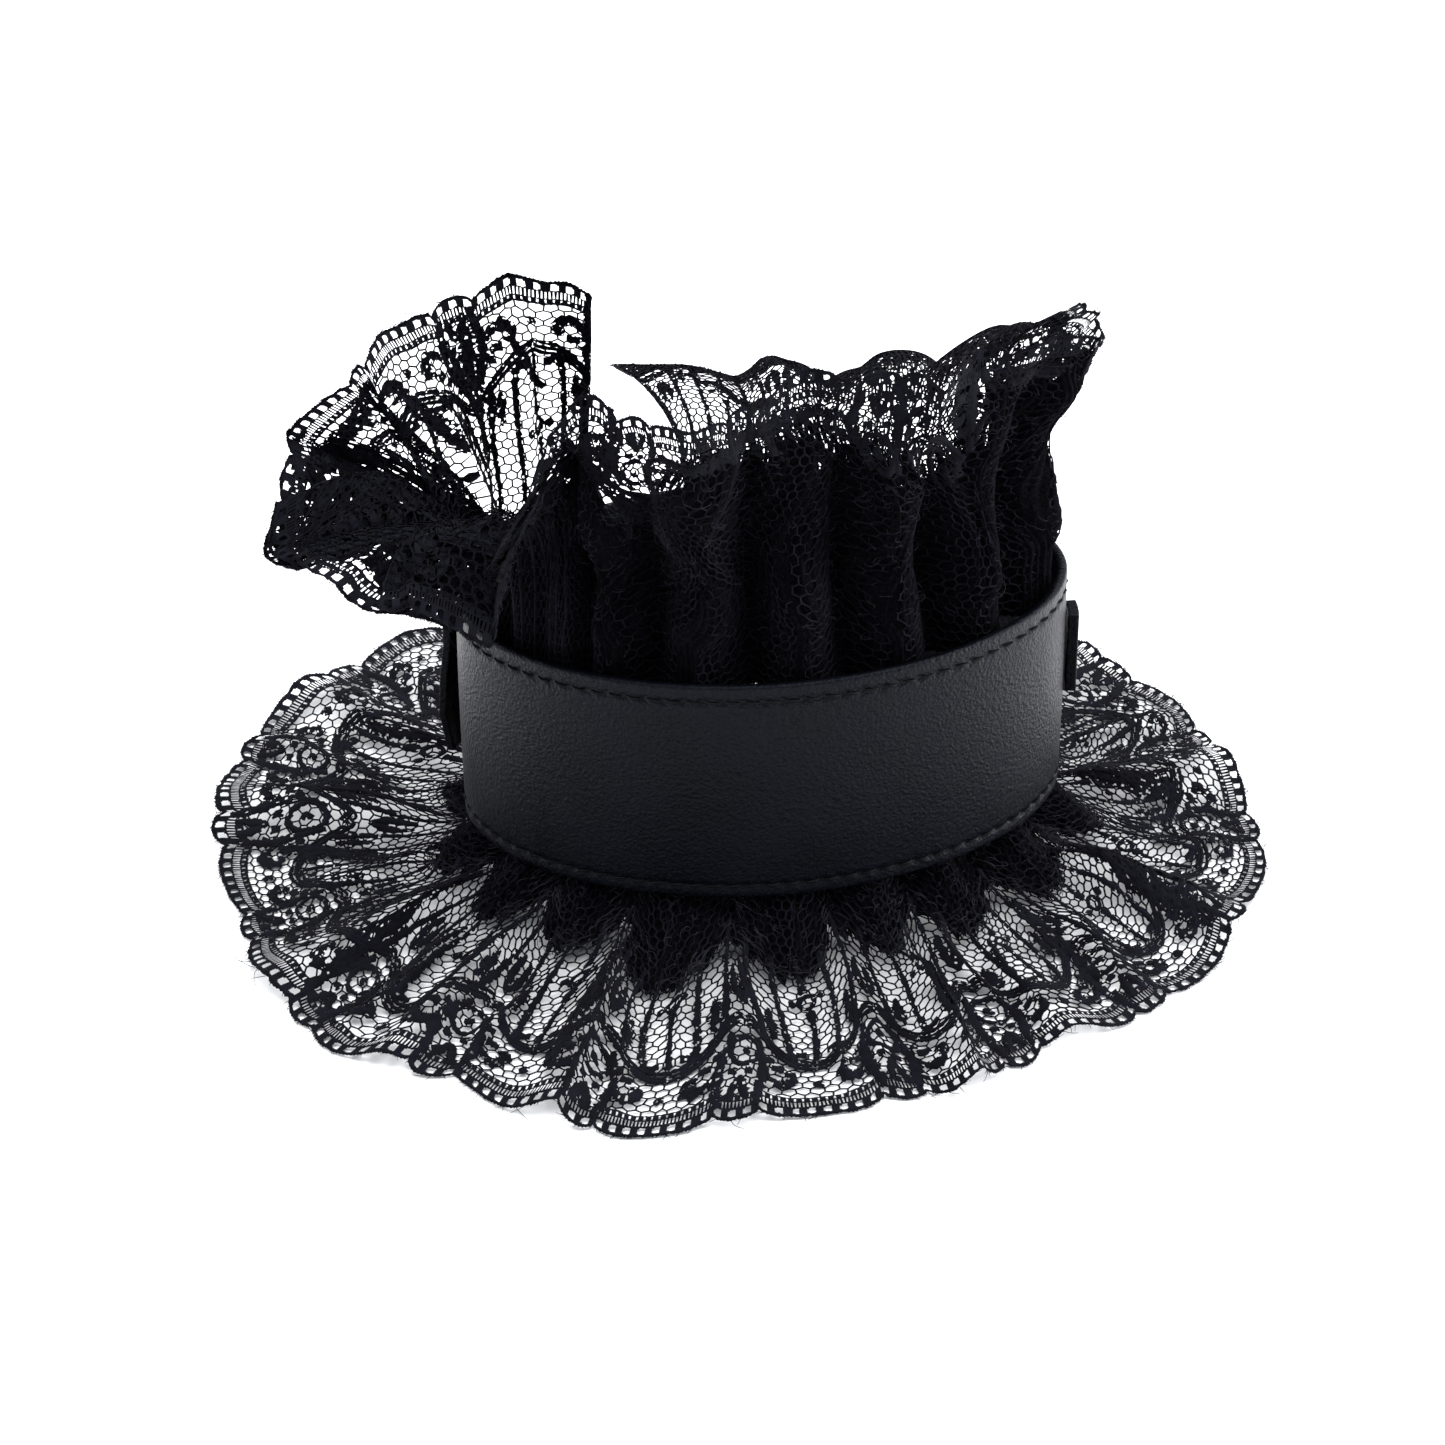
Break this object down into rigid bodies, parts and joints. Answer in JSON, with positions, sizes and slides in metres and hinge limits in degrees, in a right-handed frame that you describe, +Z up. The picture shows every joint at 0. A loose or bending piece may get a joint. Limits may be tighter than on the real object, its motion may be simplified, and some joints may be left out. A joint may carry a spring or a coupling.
{
  "type": "lace choker",
  "caption": "Black neck choker: a smooth leather band ring standing on a spread lace ruffle, with a second gathered lace ruffle standing above it.",
  "frame": {"origin": "middle of the whole part's footprint, on the surface that it stands on", "axes": "+Z up, -Y the front that the picture shows, +X to the right of that front, along the band's long diameter"},
  "size_m": [0.2238, 0.1992, 0.1293],
  "materials": {
    "leather": "satin, fine pebbled grain",
    "lace": "matte machine lace"
  },
  "bodies": {
    "root": {"band": "leather", "closing_strap": "leather", "side_tab": "leather", "upper_ruffle": "lace", "lower_ruffle": "lace"}
  },
  "joints": []
}
